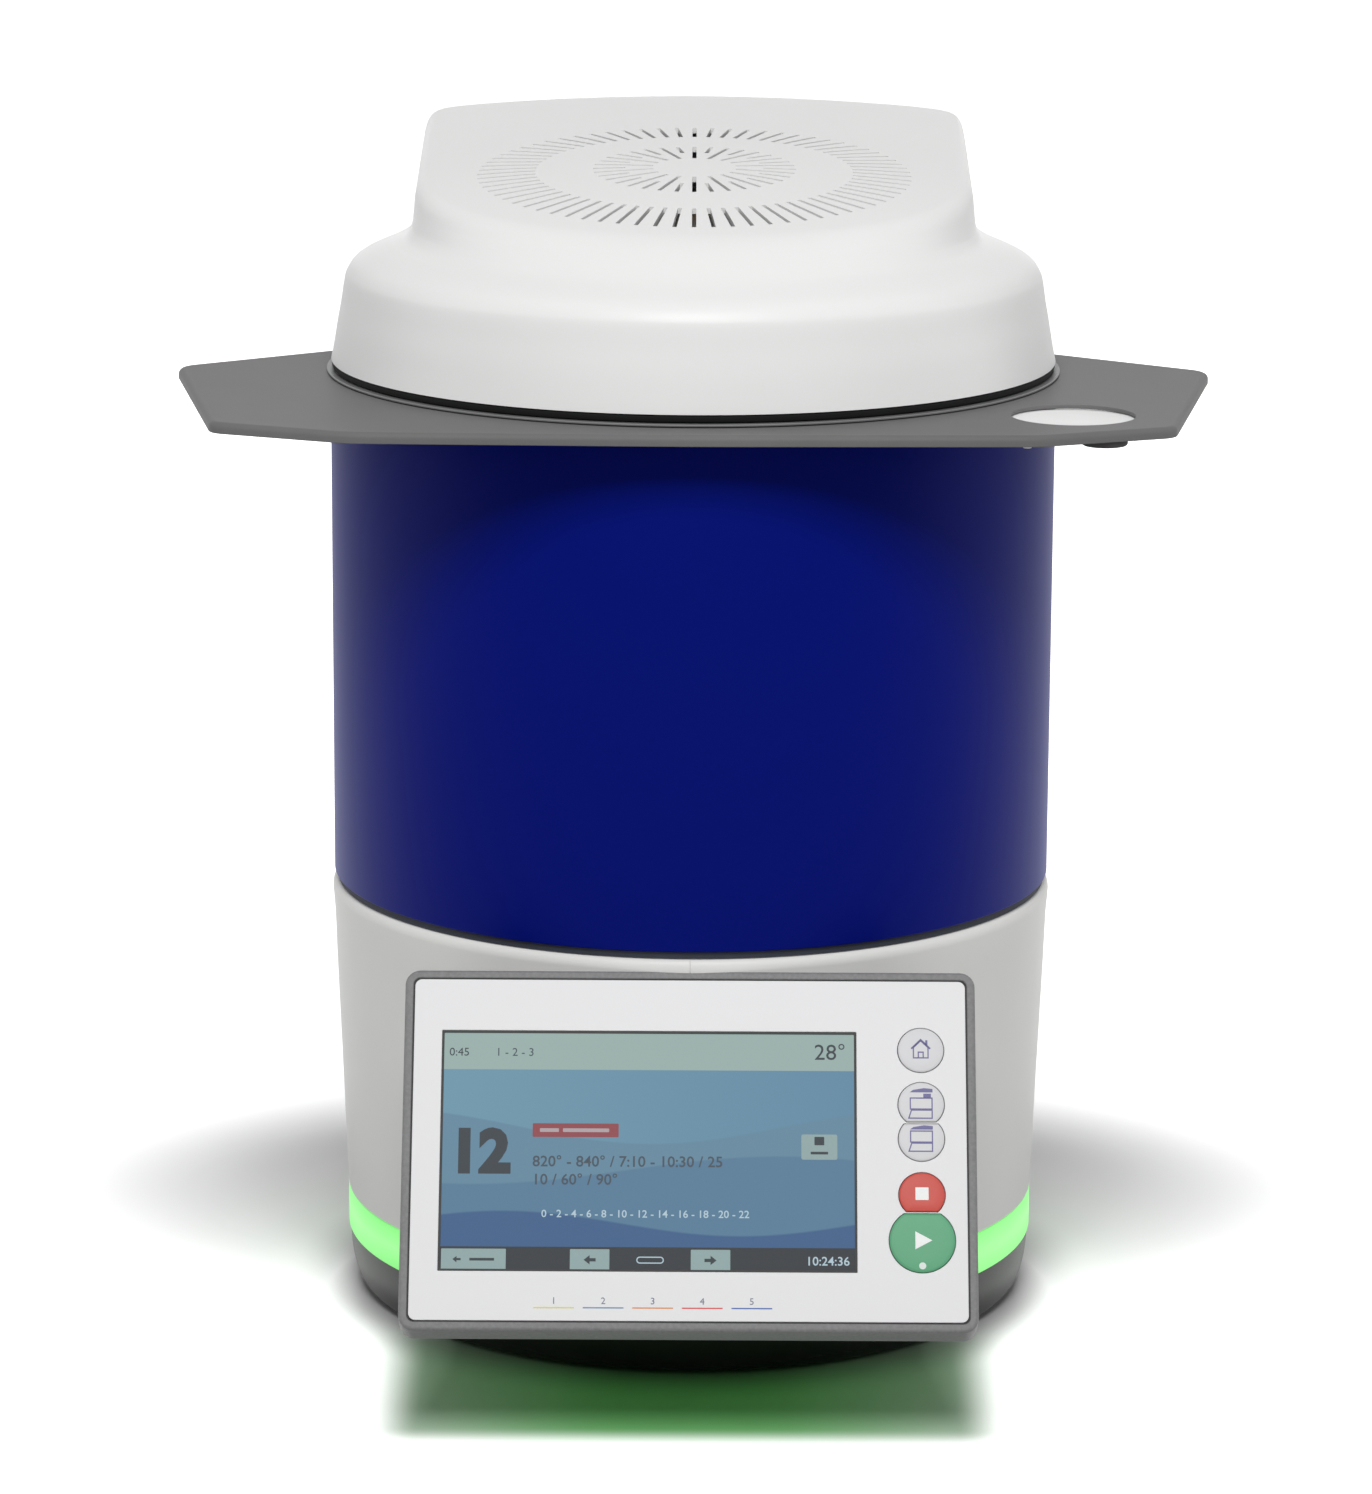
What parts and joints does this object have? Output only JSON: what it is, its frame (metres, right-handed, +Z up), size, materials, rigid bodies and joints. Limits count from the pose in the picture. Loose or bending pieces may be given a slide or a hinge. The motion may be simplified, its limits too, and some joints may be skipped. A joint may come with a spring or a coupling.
{
  "type": "dental lab furnace",
  "caption": "Round bench furnace whose white head lifts off a firing table, with a cooling tray, a glowing base ring and a slanted touch panel.",
  "frame": {"origin": "middle of the footprint's box, at the level of the table the feet stand on", "axes": "+Z up, -Y to the front where the operating panel is, +X to the right seen from the front"},
  "size_m": [0.3974, 0.4272, 0.4501],
  "materials": {
    "pan_black": "fine textured black plastic",
    "foot_rubber": "soft black rubber",
    "ring_green": "translucent light ring that glows green",
    "strip_board": "white lamp strip",
    "housing_grey": "light warm grey satin coating",
    "casing_blue": "deep blue gloss coating",
    "tray_grey": "mid grey fine textured coating",
    "deck_grey": "grey satin coating",
    "cup_steel": "bright sheet steel",
    "plug_white": "fibrous white insulation",
    "table_white": "dense firing table ceramic",
    "seal_black": "black sealing rubber",
    "rear_grey": "light grey satin coating",
    "panel_steel": "satin sheet steel",
    "socket_black": "black moulded plastic",
    "fan_grey": "dark moulded plastic",
    "guard_steel": "bright plated steel",
    "rocker_black": "glossy black plastic",
    "hose_brass": "bright brass",
    "steel": "ground steel",
    "motor_black": "black motor coating",
    "bronze": "bearing bronze",
    "plate_grey": "plain machined aluminium",
    "column_dark": "dark satin coating",
    "supply_grey": "folded sheet case",
    "board_green": "green circuit board",
    "console_grey": "light grey satin coating",
    "bezel_grey": "grey textured moulding",
    "film_white": "white printed front film",
    "display_glass": "colour display under clear film",
    "key_home_face": "white key",
    "key_open_face": "white key",
    "key_close_face": "white key",
    "key_stop_face": "red key",
    "key_start_face": "green key",
    "cover_white": "satin white heat-resistant plastic",
    "muffle_quartz": "heating muffle"
  },
  "bodies": {
    "body": {"base_pan": "pan_black", "foot_front_left": "foot_rubber", "foot_front_right": "foot_rubber", "foot_rear_left": "foot_rubber", "foot_rear_right": "foot_rubber", "light_ring": "ring_green", "light_strip": "strip_board", "lower_housing": "housing_grey", "body_casing": "casing_blue", "cooling_tray": "tray_grey", "top_deck": "deck_grey", "insulation_cup": "cup_steel", "lower_insulation": "plug_white", "firing_table": "table_white", "chamber_seal": "seal_black", "rear_housing": "rear_grey", "rear_panel": "panel_steel", "fan_frame": "fan_grey", "fan_guard": "guard_steel", "power_inlet": "socket_black", "switch_frame": "socket_black", "fuse_cap": "socket_black", "usb_socket": "guard_steel", "vacuum_connector": "hose_brass", "lift_motor": "motor_black", "guide_plate_lower": "plate_grey", "guide_plate_upper": "plate_grey", "guide_bush_lower_left": "bronze", "guide_bush_lower_right": "bronze", "guide_bush_upper_left": "bronze", "guide_bush_upper_right": "bronze", "spindle_bearing": "steel", "power_supply": "supply_grey", "control_board": "board_green", "panel_console": "console_grey", "panel_bezel": "bezel_grey", "panel_film": "film_white", "display": "display_glass", "panel_board": "board_green"},
    "head": {"head_cover": "cover_white", "head_plate": "plate_grey", "head_gasket": "seal_black", "muffle_insulation": "plug_white", "heating_muffle": "muffle_quartz", "heat_shield": "cup_steel", "thermocouple": "bronze", "lift_column": "column_dark", "guide_rod_left": "steel", "guide_rod_right": "steel", "lift_crosshead": "plate_grey", "spindle_nut": "bronze"},
    "spindle": {"lift_spindle": "steel", "shaft_coupling": "plate_grey"},
    "fan": {"fan_rotor": "fan_grey"},
    "rocker": {"switch_rocker": "rocker_black"},
    "key_home_body": {"key_home": "key_home_face"},
    "key_open_body": {"key_open": "key_open_face"},
    "key_close_body": {"key_close": "key_close_face"},
    "key_stop_body": {"key_stop": "key_stop_face"},
    "key_start_body": {"key_start": "key_start_face"}
  },
  "joints": [
    {"name": "head_lift", "type": "slide", "parent": "body", "child": "head", "axis": [0, 0, 1], "range_m": [0, 0.07]},
    {"name": "spindle_spin", "type": "hinge", "parent": "body", "child": "spindle", "pos_m": [0, 0.13959, 0.13], "axis": [0, 0, 1], "range_deg": [0, 1260]},
    {"name": "fan_spin", "type": "hinge", "parent": "body", "child": "fan", "pos_m": [-0.045, 0.17759, 0.105], "axis": [0, 1, 0], "continuous": true},
    {"name": "power_rocker", "type": "hinge", "parent": "body", "child": "rocker", "pos_m": [0.04, 0.18959, 0.13], "axis": [1, 0, 0], "range_deg": [0, 24]},
    {"name": "key_home_press", "type": "slide", "parent": "body", "child": "key_home_body", "axis": [0, 0.8387, -0.5446], "range_m": [0, 0.0008], "stiffness_N_per_m": 800},
    {"name": "key_open_press", "type": "slide", "parent": "body", "child": "key_open_body", "axis": [0, 0.8387, -0.5446], "range_m": [0, 0.0008], "stiffness_N_per_m": 800},
    {"name": "key_close_press", "type": "slide", "parent": "body", "child": "key_close_body", "axis": [0, 0.8387, -0.5446], "range_m": [0, 0.0008], "stiffness_N_per_m": 800},
    {"name": "key_stop_press", "type": "slide", "parent": "body", "child": "key_stop_body", "axis": [0, 0.8387, -0.5446], "range_m": [0, 0.0008], "stiffness_N_per_m": 800},
    {"name": "key_start_press", "type": "slide", "parent": "body", "child": "key_start_body", "axis": [0, 0.8387, -0.5446], "range_m": [0, 0.0008], "stiffness_N_per_m": 800}
  ],
  "couplings": [
    {"joint": "spindle_spin", "follows": "head_lift", "rad_per_m": 314.16}
  ]
}
